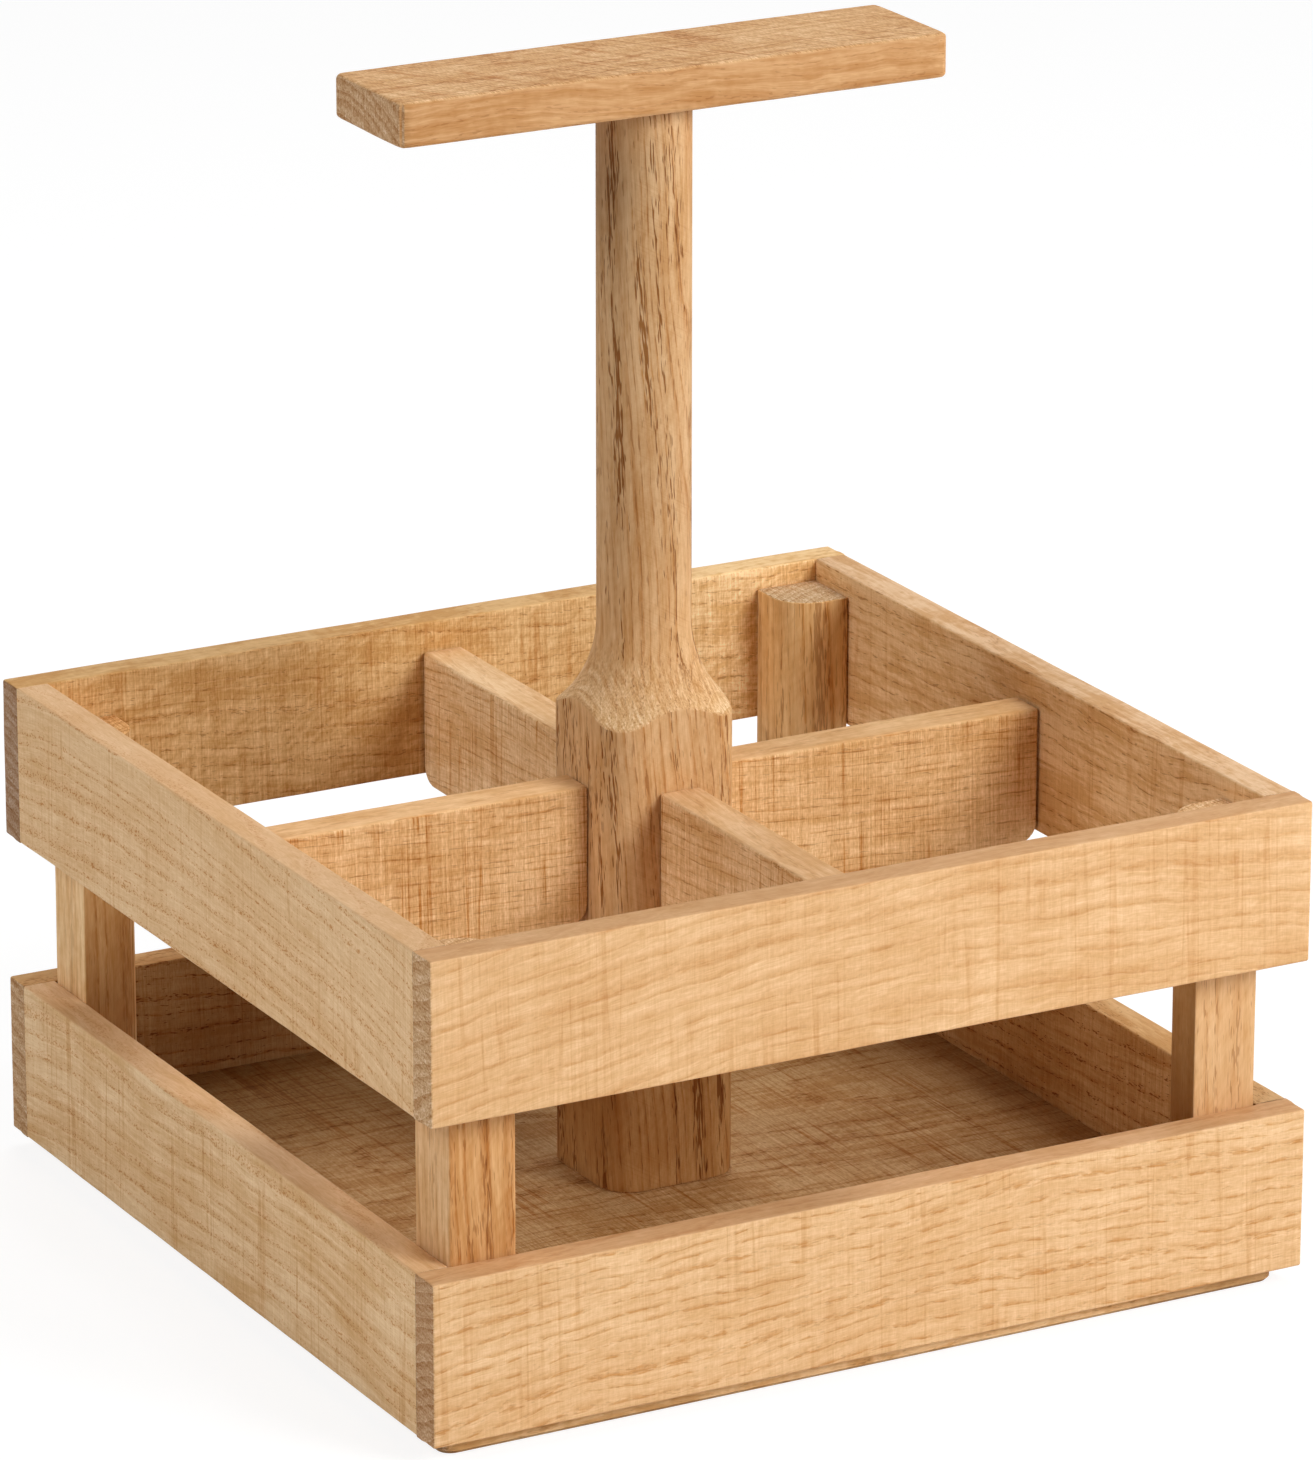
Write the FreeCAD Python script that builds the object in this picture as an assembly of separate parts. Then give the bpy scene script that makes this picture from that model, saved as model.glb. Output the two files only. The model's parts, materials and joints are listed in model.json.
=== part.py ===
import FreeCAD, Part
import math
import os

# Oak table caddy: an open crate of two slat rings on four corner posts, with a base board,
# four dividers round a centre post, and a bar handle on top of the post.
# Millimetres. X runs along the front slats and the handle, Y to the back, Z up.
# The origin is in the middle of the crate, on the surface that it stands on.

# Whole caddy
overall_height = 268.5
case_length = 215.0
case_width = 213.0

# Slat rings
slat_thickness = 8.0
slat_height = 37.0
ring_gap = 34.5
slat_arris = 0.7

# Base board: a raised field between the lower slats, and a lip beneath them
board_thickness = 12.0
lip_height = 4.0
lip_inset = 4.0
lip_corner_radius = 4.0
lip_arris = 0.8
board_fit = 0.2

# Corner posts
corner_post_side = 16.0
corner_post_round = 9.0
corner_post_drop = 5.0
corner_post_arris = 0.4

# Centre post: square below, turned round above
post_side = 33.0
post_corner_radius = 8.0
flats_height = 112.0
shaft_diameter = 21.0
cove_radius = 27.0
turning_margin = 0.5

# Handle bar
handle_length = 134.0
handle_width = 32.0
handle_thickness = 10.0
handle_corner_radius = 2.0
handle_edge_radius = 1.2

# Dividers between the centre post and the upper slats
divider_thickness = 10.0
divider_height = 32.0
divider_drop = 7.0
divider_toe_radius = 4.5
divider_arris = 0.7
divider_end_gap = 0.3

# Glued dowels, in blind holes
handle_dowel_diameter = 8.0
handle_dowel_in_handle = 6.0
handle_dowel_in_post = 18.0
divider_dowel_diameter = 5.0
divider_dowel_in_post = 9.0
divider_dowel_in_slat = 4.5
divider_dowel_in_divider = 11.0
dowel_clearance = 0.1
dowel_end_room = 0.5

# Countersunk screws, up through the base board into the centre post
screw_spacing = 15.0
screw_shank_diameter = 4.0
screw_head_diameter = 8.0
screw_length = 40.0
screw_point_length = 5.0
screw_sink_depth = 0.4
screw_clearance = 0.1
screw_end_room = 0.5
recess_length = 4.6
recess_width = 1.0
recess_depth = 1.6

# Levels and half sizes that follow from the sizes above
floor_level = board_thickness
lower_ring_level = lip_height
upper_ring_level = lower_ring_level + slat_height + ring_gap
rim_level = upper_ring_level + slat_height
half_length = case_length / 2
half_width = case_width / 2
inner_x = half_length - slat_thickness
inner_y = half_width - slat_thickness
half_post = post_side / 2
shaft_radius = shaft_diameter / 2
shaft_top = overall_height - handle_thickness
divider_top = rim_level - divider_drop
divider_middle = divider_top - divider_height / 2

# Each divider runs out from the post, a quarter turn on from the last: how far away its slat is
DIVIDERS = {"right": inner_x, "back": inner_y, "left": inner_x, "front": inner_y}

# Each corner post, a quarter turn on from the last: the inner corner of the slats that it fills
CORNERS = {
    "front_left": (-inner_x, -inner_y),
    "front_right": (inner_x, -inner_y),
    "back_right": (inner_x, inner_y),
    "back_left": (-inner_x, inner_y),
}
QUARTER_TURN = 90

UP = FreeCAD.Vector(0, 0, 1)
ALONG_X = FreeCAD.Vector(1, 0, 0)

# How near two levels or lengths are when they count as the same
same_level = 0.001


def point(x, y, z):
    return FreeCAD.Vector(x, y, z)


def block(low, high):
    size = [b - a for a, b in zip(low, high)]
    return Part.makeBox(size[0], size[1], size[2], point(*low))


def turned(shape, quarters):
    copy = shape.copy()
    copy.rotate(point(0, 0, 0), UP, quarters * QUARTER_TURN)
    return copy


def upright_edges(solid):
    return [edge for edge in solid.Edges if edge.BoundBox.ZLength > 0.5 * solid.BoundBox.ZLength]


def edges_at(solid, level):
    def lies_level(box):
        return abs(box.ZMin - level) < same_level and abs(box.ZMax - level) < same_level

    return [edge for edge in solid.Edges if lies_level(edge.BoundBox)]


def round_corners(solid, radius):
    return solid.makeFillet(radius, upright_edges(solid))


def revolved(profile):
    closed = profile + [profile[0]]
    edges = []
    for start, end in zip(closed, closed[1:]):
        edges.append(Part.LineSegment(point(start[0], 0, start[1]), point(end[0], 0, end[1])).toShape())
    return Part.Face(Part.Wire(edges)).revolve(point(0, 0, 0), UP, 360)


def long_edges(solid):
    longest = max(edge.Length for edge in solid.Edges)
    return [edge for edge in solid.Edges if abs(edge.Length - longest) < same_level]


def slat(low, high, free_ends):
    # Ends that butt against another slat keep square arrises, so that the joint closes flush.
    plain = block(low, high)
    return plain.makeChamfer(slat_arris, plain.Edges if free_ends else long_edges(plain))


def slat_ring(level):
    top = level + slat_height
    return {
        "front": slat((-half_length, -half_width, level), (half_length, -inner_y, top), True),
        "back": slat((-half_length, inner_y, level), (half_length, half_width, top), True),
        "left": slat((-half_length, -inner_y, level), (-inner_x, inner_y, top), False),
        "right": slat((inner_x, -inner_y, level), (half_length, inner_y, top), False),
    }


def upper_slats():
    slats = slat_ring(upper_ring_level)
    for quarters, (side, reach) in enumerate(DIVIDERS.items()):
        hole = dowel_hole(reach, divider_dowel_in_divider, divider_dowel_in_slat)
        slats[side] = slats[side].cut(turned(hole, quarters))
    return slats


def base_board():
    lip_x = half_length - lip_inset
    lip_y = half_width - lip_inset
    lip = round_corners(block((-lip_x, -lip_y, 0), (lip_x, lip_y, lip_height)), lip_corner_radius)
    lip = lip.makeChamfer(lip_arris, edges_at(lip, 0))
    field_x = inner_x - board_fit
    field_y = inner_y - board_fit
    field = block((-field_x, -field_y, lip_height), (field_x, field_y, floor_level))
    board = lip.fuse(field).removeSplitter()
    for screw_x in screw_places():
        board = board.cut(screw_hole(screw_x))
    return board


def corner_post(corner_x, corner_y, quarters):
    side = corner_post_side
    straight = side - corner_post_round
    middle = straight + corner_post_round * math.sqrt(0.5)
    outline = [
        Part.LineSegment(point(0, 0, 0), point(side, 0, 0)).toShape(),
        Part.LineSegment(point(side, 0, 0), point(side, straight, 0)).toShape(),
        Part.Arc(point(side, straight, 0), point(middle, middle, 0), point(straight, side, 0)).toShape(),
        Part.LineSegment(point(straight, side, 0), point(0, side, 0)).toShape(),
        Part.LineSegment(point(0, side, 0), point(0, 0, 0)).toShape(),
    ]
    height = rim_level - corner_post_drop - floor_level
    post = Part.Face(Part.Wire(outline)).extrude(UP * height)
    post = turned(post.makeChamfer(corner_post_arris, edges_at(post, height)), quarters)
    post.translate(point(corner_x, corner_y, floor_level))
    return post


def turning_profile():
    # Half section of what the lathe leaves: the shaft, the cove, and below it a body that is
    # wider than the square blank, so that the blank's flats stay as they are.
    corner_reach = (half_post - post_corner_radius) * math.sqrt(2) + post_corner_radius
    body_radius = corner_reach + turning_margin
    flats_angle = math.acos(1 - (half_post - shaft_radius) / cove_radius)
    body_angle = math.acos(1 - (body_radius - shaft_radius) / cove_radius)
    cove_top = floor_level + flats_height + cove_radius * math.sin(flats_angle)

    def on_cove(angle):
        radius = shaft_radius + cove_radius * (1 - math.cos(angle))
        return point(radius, 0, cove_top - cove_radius * math.sin(angle))

    cove_start = on_cove(0)
    cove_end = on_cove(body_angle)
    bottom = point(body_radius, 0, floor_level)
    axis_bottom = point(0, 0, floor_level)
    axis_top = point(0, 0, shaft_top)
    top = point(shaft_radius, 0, shaft_top)
    outline = [
        Part.LineSegment(axis_bottom, bottom).toShape(),
        Part.LineSegment(bottom, cove_end).toShape(),
        Part.Arc(cove_end, on_cove(body_angle / 2), cove_start).toShape(),
        Part.LineSegment(cove_start, top).toShape(),
        Part.LineSegment(top, axis_top).toShape(),
        Part.LineSegment(axis_top, axis_bottom).toShape(),
    ]
    return Part.Face(Part.Wire(outline))


def centre_post():
    blank = block((-half_post, -half_post, floor_level), (half_post, half_post, shaft_top))
    blank = round_corners(blank, post_corner_radius)
    post = blank.common(turning_profile().revolve(point(0, 0, 0), UP, 360))
    holes = [handle_dowel_hole()]
    side_hole = dowel_hole(half_post, divider_dowel_in_post, divider_dowel_in_divider)
    for quarters in range(len(DIVIDERS)):
        holes.append(turned(side_hole, quarters))
    for screw_x in screw_places():
        holes.append(screw_hole(screw_x))
    return post.cut(Part.makeCompound(holes))


def handle_bar():
    low = (-handle_length / 2, -handle_width / 2, shaft_top)
    high = (handle_length / 2, handle_width / 2, shaft_top + handle_thickness)
    bar = round_corners(block(low, high), handle_corner_radius)
    rims = edges_at(bar, shaft_top) + edges_at(bar, shaft_top + handle_thickness)
    return bar.makeFillet(handle_edge_radius, rims).cut(handle_dowel_hole())


def divider(reach):
    # Drawn along X from the post's flat to the slat, with both lower corners rounded.
    start = half_post
    end = reach - divider_end_gap
    bottom = divider_top - divider_height
    half = divider_thickness / 2
    board = block((start, -half, bottom), (end, half, divider_top))
    toes = [edge for edge in edges_at(board, bottom) if edge.BoundBox.YLength > half]
    board = board.makeFillet(divider_toe_radius, toes)
    board = board.makeChamfer(divider_arris, edges_at(board, divider_top))
    for seat, inwards, outwards in (
        (half_post, divider_dowel_in_post, divider_dowel_in_divider),
        (reach, divider_dowel_in_divider, divider_dowel_in_slat),
    ):
        board = board.cut(dowel_hole(seat, inwards, outwards))
    return board


def rod(start, end, radius, level):
    return Part.makeCylinder(radius, end - start, point(start, 0, level), ALONG_X)


def dowel_hole(seat, inwards, outwards):
    # A straight hole along X that crosses the joint at seat and leaves room at both dowel ends.
    radius = divider_dowel_diameter / 2 + dowel_clearance
    return rod(seat - inwards - dowel_end_room, seat + outwards + dowel_end_room, radius, divider_middle)


def divider_dowel(seat, inwards, outwards):
    return rod(seat - inwards, seat + outwards, divider_dowel_diameter / 2, divider_middle)


def handle_dowel_hole():
    radius = handle_dowel_diameter / 2 + dowel_clearance
    depth = handle_dowel_in_post + dowel_end_room
    length = depth + handle_dowel_in_handle + dowel_end_room
    return Part.makeCylinder(radius, length, point(0, 0, shaft_top - depth))


def handle_dowel():
    length = handle_dowel_in_post + handle_dowel_in_handle
    start = point(0, 0, shaft_top - handle_dowel_in_post)
    return Part.makeCylinder(handle_dowel_diameter / 2, length, start)


def screw_places():
    return (-screw_spacing / 2, screw_spacing / 2)


def screw():
    # Upside down: the head is at the bottom, a little above the board's underside.
    head = screw_head_diameter / 2
    shank = screw_shank_diameter / 2
    tip = screw_sink_depth + screw_length
    body = revolved([
        (0, screw_sink_depth),
        (head, screw_sink_depth),
        (shank, screw_sink_depth + head - shank),
        (shank, tip - screw_point_length),
        (0, tip),
    ])
    half_recess = recess_length / 2
    half_slot = recess_width / 2
    slot = block((-half_recess, -half_slot, 0), (half_recess, half_slot, screw_sink_depth + recess_depth))
    return body.cut(slot).cut(turned(slot, 1))


def screw_hole(screw_x):
    # Open at the underside, countersunk for the head, and drilled straight a little past the tip.
    head = screw_head_diameter / 2 + screw_clearance
    shank = screw_shank_diameter / 2 + screw_clearance
    end = screw_sink_depth + screw_length + screw_end_room
    hole = revolved([
        (0, 0),
        (head, 0),
        (head, screw_sink_depth),
        (shank, screw_sink_depth + head - shank),
        (shank, end),
        (0, end),
    ])
    hole.translate(point(screw_x, 0, 0))
    return hole


def post_screws():
    screws = []
    for screw_x in screw_places():
        one = screw()
        one.translate(point(screw_x, 0, 0))
        screws.append(one)
    return Part.makeCompound(screws)


def divider_dowels(at_slat):
    pins = []
    for quarters, reach in enumerate(DIVIDERS.values()):
        if at_slat:
            pin = divider_dowel(reach, divider_dowel_in_divider, divider_dowel_in_slat)
        else:
            pin = divider_dowel(half_post, divider_dowel_in_post, divider_dowel_in_divider)
        pins.append(turned(pin, quarters))
    return Part.makeCompound(pins)


def build():
    nodes = {}
    for side, solid in slat_ring(lower_ring_level).items():
        nodes["lower_" + side + "_slat"] = solid
    for side, solid in upper_slats().items():
        nodes["upper_" + side + "_slat"] = solid
    for quarters, (corner, (corner_x, corner_y)) in enumerate(CORNERS.items()):
        nodes["corner_post_" + corner] = corner_post(corner_x, corner_y, quarters)
    for quarters, (side, reach) in enumerate(DIVIDERS.items()):
        nodes["divider_" + side] = turned(divider(reach), quarters)
    nodes["base_board"] = base_board()
    nodes["centre_post"] = centre_post()
    nodes["handle_bar"] = handle_bar()
    nodes["handle_dowel"] = handle_dowel()
    nodes["divider_post_dowels"] = divider_dowels(at_slat=False)
    nodes["divider_slat_dowels"] = divider_dowels(at_slat=True)
    nodes["post_screws"] = post_screws()
    return nodes


os.makedirs("parts", exist_ok=True)
for name, shape in build().items():
    shape.exportStep("parts/" + name + ".step")
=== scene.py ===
import json
import math
import random

import bpy
from mathutils import Matrix, Vector, noise

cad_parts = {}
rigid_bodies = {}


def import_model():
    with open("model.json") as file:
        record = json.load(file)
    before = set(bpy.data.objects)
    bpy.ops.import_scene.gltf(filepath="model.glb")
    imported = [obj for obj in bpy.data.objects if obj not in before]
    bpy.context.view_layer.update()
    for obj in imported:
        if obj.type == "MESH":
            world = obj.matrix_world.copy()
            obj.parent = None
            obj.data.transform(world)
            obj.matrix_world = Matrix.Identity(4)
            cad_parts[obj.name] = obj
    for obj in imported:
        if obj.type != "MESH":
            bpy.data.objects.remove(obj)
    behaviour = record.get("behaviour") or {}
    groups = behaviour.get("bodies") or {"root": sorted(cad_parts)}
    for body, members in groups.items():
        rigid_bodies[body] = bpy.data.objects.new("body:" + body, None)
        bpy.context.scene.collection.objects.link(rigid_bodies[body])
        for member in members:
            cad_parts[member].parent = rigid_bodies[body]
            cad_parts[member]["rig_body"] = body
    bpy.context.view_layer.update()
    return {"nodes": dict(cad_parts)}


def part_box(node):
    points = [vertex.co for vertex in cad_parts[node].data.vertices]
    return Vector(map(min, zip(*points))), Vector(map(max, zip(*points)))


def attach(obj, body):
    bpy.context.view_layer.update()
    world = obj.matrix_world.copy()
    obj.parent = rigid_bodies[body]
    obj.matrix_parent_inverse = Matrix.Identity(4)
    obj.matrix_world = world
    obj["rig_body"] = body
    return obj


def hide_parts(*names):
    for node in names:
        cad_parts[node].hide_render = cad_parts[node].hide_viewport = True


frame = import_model()

MM = 0.001

# Camera: where the photograph was taken from, fitted to the crate's corners
CAMERA_PLACE = Vector((-0.8387, -1.5507, 0.7025))
CAMERA_YAW = 28.73
CAMERA_PITCH = 18.28
CAMERA_ROLL = 0.12
CAMERA_LENS = 206.99
CAMERA_SENSOR = 36.0
CAMERA_SHIFT = (-0.0221, -0.0166)
CAMERA_CLIP = (0.05, 50)

# Light: soft boxes round the crate, azimuth 0 in front and 90 to its right, and a faint even glow
LAMP_TARGET = Vector((0, 0, 0.1))
LAMP_DISTANCE = 1.8
LAMP_SIZE = 0.9
LAMPS = (
    # name, azimuth, elevation, power
    ("key", 30, 32, 22.5),
    ("left", -90, 35, 12.0),
    ("back", 150, 60, 9.5),
    ("low", 60, 12, 8.5),
)
WORLD_LEVEL = 0.07

# Floor: pale paper with a white glow for the camera alone, a hair below the base board, so that the
# two don't share a plane
FLOOR_HALF = 6.0
FLOOR_GAP = 0.1 * MM
FLOOR_PAPER = 0.86
FLOOR_GLOW = 1.17
FLOOR_GLOW_SHARE = 0.72

# Sizes of the turned post that its box doesn't give; its foot is bevelled and its shoulder eased
POST_CORNER_RADIUS = 8 * MM
POST_FLATS_HEIGHT = 112 * MM
POST_COVE_RADIUS = 27 * MM
POST_SHAFT_RADIUS = 10.5 * MM
POST_ARRIS = 0.5 * MM
POST_FOOT_BEVEL = 0.3 * POST_ARRIS
POST_SHOULDER_IN = 0.12 * POST_ARRIS
POST_SHOULDER_DOWN = 0.02 * POST_ARRIS

# How finely the post is divided: columns along each flat and round each corner, and rows up its
# square part, its cove and its shaft
POST_FLAT_COLUMNS = 12
POST_CORNER_COLUMNS = 12
POST_SQUARE_ROWS = 60
POST_COVE_ROWS = 24
POST_SHAFT_ROWS = 60

# Rounding of the arrises, and how finely the faces are divided
SLAT_ARRIS = 0.6 * MM
DIVIDER_ARRIS = 0.8 * MM
DIVIDER_TOE_RADIUS = 4.5 * MM
HANDLE_ARRIS = 1.2 * MM
HANDLE_CORNER_RADIUS = 2 * MM
CORNER_POST_ARRIS = 0.5 * MM
CORNER_POST_ROUND = 9 * MM
ARRIS_ANGLES = (45, 30, 15, 0)
CELL = 1.6 * MM

# Hand finish: how much an arris varies, how far a face dips, and what is left of an arris in a joint
ARRIS_VARIES = 0.3
ARRIS_WAVELENGTH = 14 * MM
FACE_DIP = 0.10 * MM
FACE_DIP_WAVELENGTH = 30 * MM
CLOSED_JOINT = 0.15

# The glue joints of the corner posts show as dark lines, and the back left post stops a little lower
CORNER_POST_GAP = 0.2 * MM
SHORT_POST = "back_left"
SHORT_POST_DROP = 4.8 * MM

# Every board draws its own place in the grain and in its unevenness, up to this far away
SEED_SPREAD = 900

TEXTURES = {
    # name: size in millimetres along the grain, across the board and through it, detail, roughness
    "swing": ((70, 40, 40), 1.0, 0.5),
    "ripple": ((12, 8, 8), 2.0, 0.55),
    "streak": ((24, 1.5, 1.5), 3.0, 0.6),
    "fibre": ((4, 0.28, 0.28), 1.0, 0.6),
    "ray": ((9, 0.62, 5), 1.0, 0.5),
    "mottle": ((26, 12, 12), 2.0, 0.5),
    "break": ((5.5, 1.1, 1.1), 2.0, 0.6),
    "curl": ((5.5, 1.4, 3), 2.0, 0.55),
    "lane": ((90, 3.4, 3.4), 1.0, 0.5),
    "thread": ((5.5, 0.38, 0.38), 1.0, 0.5),
    "caught": ((8, 24, 24), 2.0, 0.5),
    "rib": ((0.5, 1, 1), 2.0, 0.6),
    "torn": ((0.28, 1.4, 1.4), 1.0, 0.5),
    # in pore lengths and widths, and in cut pitches
    "pore": ((1, 1, 1), 1.0, 0.5),
    "cut": ((1, 1, 1), 2.0, 0.6),
    # on steel, along X, Y and Z
    "cloud": ((5 / 3, 5 / 3, 5 / 3), 3.0, 0.6),
    "turning": ((1.25, 1.25, 1 / 6), 1.0, 0.5),
}
PORE_WIDTH = 5 / 12
CURL_ANGLE = math.radians(-32)
RIPPLE_SHARE = 0.2
BOW_UNIT = 0.001

# Growth rings: how far the spacing drifts, in rings, and how soon, and where early wood starts to fade
RING_DRIFT = 1.6
RING_DRIFT_PACE = 0.45
RING_CREST = 0.10

# The saw: how far its marks stray across the board, where the texture of the cuts is read, the level
# that makes one, and how narrow a band about that level it takes
RIB_STRAYS = 0.035
CUT_STRAYS = 0.004
CUT_LAYER = 5.0
CUT_LEVEL = 0.53
CUT_BAND = 0.024

# Where a change begins and is full, in how far the surface faces along the grain or out of the board
END_FACE = (0.50, 0.85)
BOARD_FACE = (0.6, 0.9)
LINES_FADE = (0.2, 0.5)
FIBRES_GAIN = (0.1, 0.5)
RAYS_SHOW = (0.15, 0.45)
# in a growth ring
EARLY_WOOD_RISES = (0.0, 0.14)
LATE_WOOD_DARKENS = (0.2, 0.9)
# and in a texture
LINES_BREAK = (0.44, 0.56)
PORES_OPEN = (0.69, 0.76)
VESSELS_OPEN = (1.08, 1.15)
SAW_CATCHES = (0.42, 0.58)
SAW_SKIPS = (0.30, 0.50)
CLOUDS_SHOW = (0.3, 0.7)

# Lines: their usual strength, and how much the fibres roughen it; and how much fainter lines and
# pores are on a narrow side
LINE_STRENGTH = 0.9
LINE_FIBRES = 2.4
SIDE_CALM = -0.5

# How strong lines, vessels and fibres are on the end grain, and fibres on the long faces
LINES_AT_END = 0.3
VESSELS_AT_END = 0.2
FIBRES_AT_END = 0.9
FIBRES_ALONG = 0.34

# How much more readily pores, dots and vessels open in early wood, what the threads of a vessel
# weigh beside its lane, and what is left of a cut where the saw skips
EARLY_PORES = 0.16
EARLY_DOTS = 0.10
EARLY_VESSELS = 0.03
THREAD_WEIGHT = 0.8
SKIPPED_CUT = 0.6

# How much each mark adds to a start: to the tone and brightness of the long faces, to the brightness
# of the end grain, to the relief in millimetres and to the roughness
TONE = (0.35, {"streaks": 4.0, "patches": 2.4, "curls": 1.8, "ring": 0.18})
BRIGHTNESS = (1.06, {"fibres": 1.0, "end_ray": 0.8, "rib": 0.60, "torn": 0.45})
END_BAND = (1.18, {"late": -0.34})
END_DOTS = (1.66, {"dots": -1.2})
END_THREADS = {"streak": 0.6, "ray": 0.8, "fibre": 0.5}
RELIEF = (0.0, {"rib": 0.020, "torn": 0.012, "cut": -0.03, "pore": -0.015, "vessel": -0.10,
                "streak": 0.005, "end_fibre": 0.05, "end_ray": 0.16})
ROUGHNESS = (0.60, {"pore": 0.2, "end": 0.12})

# Oak that is darker is also redder: the powers that a change of brightness takes in each channel
SHADE_POWERS = (0.8, 1.3, 2.0)
OAK_SPECULAR = 0.12

# Zinc-plated steel: its roughness, what the clouds add to it, and the depth of its turning marks
STEEL_ROUGHNESS = 0.22
STEEL_CLOUD_ROUGHNESS = 0.25
STEEL_MARK_DEPTH = 0.02 * MM


class Graph:
    """Adds shader nodes to a tree. An input is a number, a tuple or another node's output."""

    def __init__(self, tree):
        self.tree = tree

    def feed(self, socket, value):
        """Sets an input, or links it to another node's output."""
        if isinstance(value, bpy.types.NodeSocket):
            self.tree.links.new(value, socket)
        else:
            socket.default_value = value

    def node(self, kind, inputs=None, **settings):
        made = self.tree.nodes.new(kind)
        for name, value in settings.items():
            setattr(made, name, value)
        for key, value in (inputs or {}).items():
            self.feed(made.inputs[key], value)
        return made

    def math(self, operation, a, b=0.0, c=0.0):
        return self.node("ShaderNodeMath", {0: a, 1: b, 2: c}, operation=operation).outputs[0]

    def product(self, first, *others):
        result = first
        for factor in others:
            result = self.math("MULTIPLY", result, factor)
        return result

    def total(self, start, *terms):
        """The start, plus each term's value times its weight."""
        result = start
        for value, weight in terms:
            result = self.math("MULTIPLY_ADD", value, weight, result)
        return result

    def vector(self, operation, a, b=(0, 0, 0)):
        return self.node("ShaderNodeVectorMath", {0: a, 1: b}, operation=operation).outputs[0]

    def scaled(self, vector, factor):
        inputs = {0: vector, "Scale": factor}
        return self.node("ShaderNodeVectorMath", inputs, operation="SCALE").outputs[0]

    def length(self, vector):
        return self.node("ShaderNodeVectorMath", {0: vector}, operation="LENGTH").outputs["Value"]

    def split(self, vector):
        return self.node("ShaderNodeSeparateXYZ", {0: vector}).outputs

    def join(self, x, y, z):
        return self.node("ShaderNodeCombineXYZ", {0: x, 1: y, 2: z}).outputs[0]

    def noise(self, place, texture, output="Fac"):
        """One of the TEXTURES, read at a place."""
        size, detail, roughness = TEXTURES[texture]
        stretched = self.vector("MULTIPLY", place, tuple(1 / length for length in size))
        inputs = {"Vector": stretched, "Scale": 1.0, "Detail": detail, "Roughness": roughness}
        return self.node("ShaderNodeTexNoise", inputs).outputs[output]

    def centred(self, place, texture):
        """A texture about zero, mostly between -0.25 and 0.25."""
        return self.math("SUBTRACT", self.noise(place, texture), 0.5)

    def centred_vector(self, place, texture):
        """A texture in three directions at once, each about zero."""
        return self.vector("SUBTRACT", self.noise(place, texture, "Color"), (0.5, 0.5, 0.5))

    def ramp(self, value, span, low=0.0, high=1.0):
        """From low to high while the value crosses the span, with soft ends."""
        inputs = {0: value, 1: span[0], 2: span[1], 3: low, 4: high}
        return self.node("ShaderNodeMapRange", inputs, interpolation_type="SMOOTHSTEP").outputs[0]

    def clamped(self, value):
        return self.node("ShaderNodeClamp", {0: value}).outputs[0]

    def mix(self, share, a, b, blend="MIX"):
        inputs = {0: share, 6: a, 7: b}
        return self.node("ShaderNodeMix", inputs, data_type="RGBA", blend_type=blend).outputs[2]

    def shade(self, brightness):
        """The colour that a brightness multiplies the wood by."""
        return self.join(*(self.math("POWER", brightness, power) for power in SHADE_POWERS))


def tint(red, green, blue):
    """What a colour is multiplied by."""
    return (red, green, blue, 1.0)


def grey(level):
    """From black at 0 to white at 1."""
    return (level, level, level, 1.0)


def linear(red, green, blue):
    """A colour as the eye reads it, from 0 to 255, as shader values."""
    def channel(value):
        share = value / 255
        if share <= 0.04045:
            return share / 12.92
        return ((share + 0.055) / 1.055) ** 2.4

    return (channel(red), channel(green), channel(blue), 1.0)


# What lines, open pores and deeper tones do to the colour of the wood around them
LINE_TINT = tint(0.75, 0.55, 0.33)
DARK_TINT = tint(0.46, 0.30, 0.16)
TONE_TINT = tint(0.80, 0.68, 0.52)
SPECK_TINT = tint(0.74, 0.50, 0.30)

VECTOR = "NodeSocketVector"
NUMBER = "NodeSocketFloat"
COLOR = "NodeSocketColor"

OAK_INPUTS = (
    # name, kind, usual value; lengths in millimetres
    ("Place", VECTOR, (0, 0, 0)),
    ("Facing", VECTOR, (0, 0, 1)),
    ("Seed", VECTOR, (0, 0, 0)),
    ("Pith", VECTOR, (0, -90, 20)),
    ("Slope", VECTOR, (0, 0.05, 0)),
    # how much the slope grows along the grain, in thousandths per millimetre
    ("Bow", VECTOR, (0, 0, 0)),
    ("Ring width", NUMBER, 4.0),
    ("Wave", NUMBER, 9.0),
    ("Lines", NUMBER, 0.7),
    ("Line width", NUMBER, 0.25),
    ("Dashes", NUMBER, 0.5),
    ("Pores", NUMBER, 0.5),
    ("Pore length", NUMBER, 2.0),
    ("Pore tint", COLOR, DARK_TINT),
    ("Vessels", NUMBER, 0.0),
    ("Curl", NUMBER, 0.5),
    ("Mottle", NUMBER, 0.5),
    ("Streaks", NUMBER, 0.5),
    ("Ribs", NUMBER, 0.5),
    ("Cuts", NUMBER, 0.3),
    ("Cut pitch", NUMBER, 3.0),
    ("Cut tilt", NUMBER, 0.02),
    ("Wood", COLOR, linear(230, 185, 136)),
    ("Edge", COLOR, tint(0.92, 0.88, 0.84)),
    ("End", COLOR, linear(190, 155, 120)),
)
OAK_OUTPUTS = (("Color", COLOR), ("Roughness", NUMBER), ("Height", NUMBER))


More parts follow.
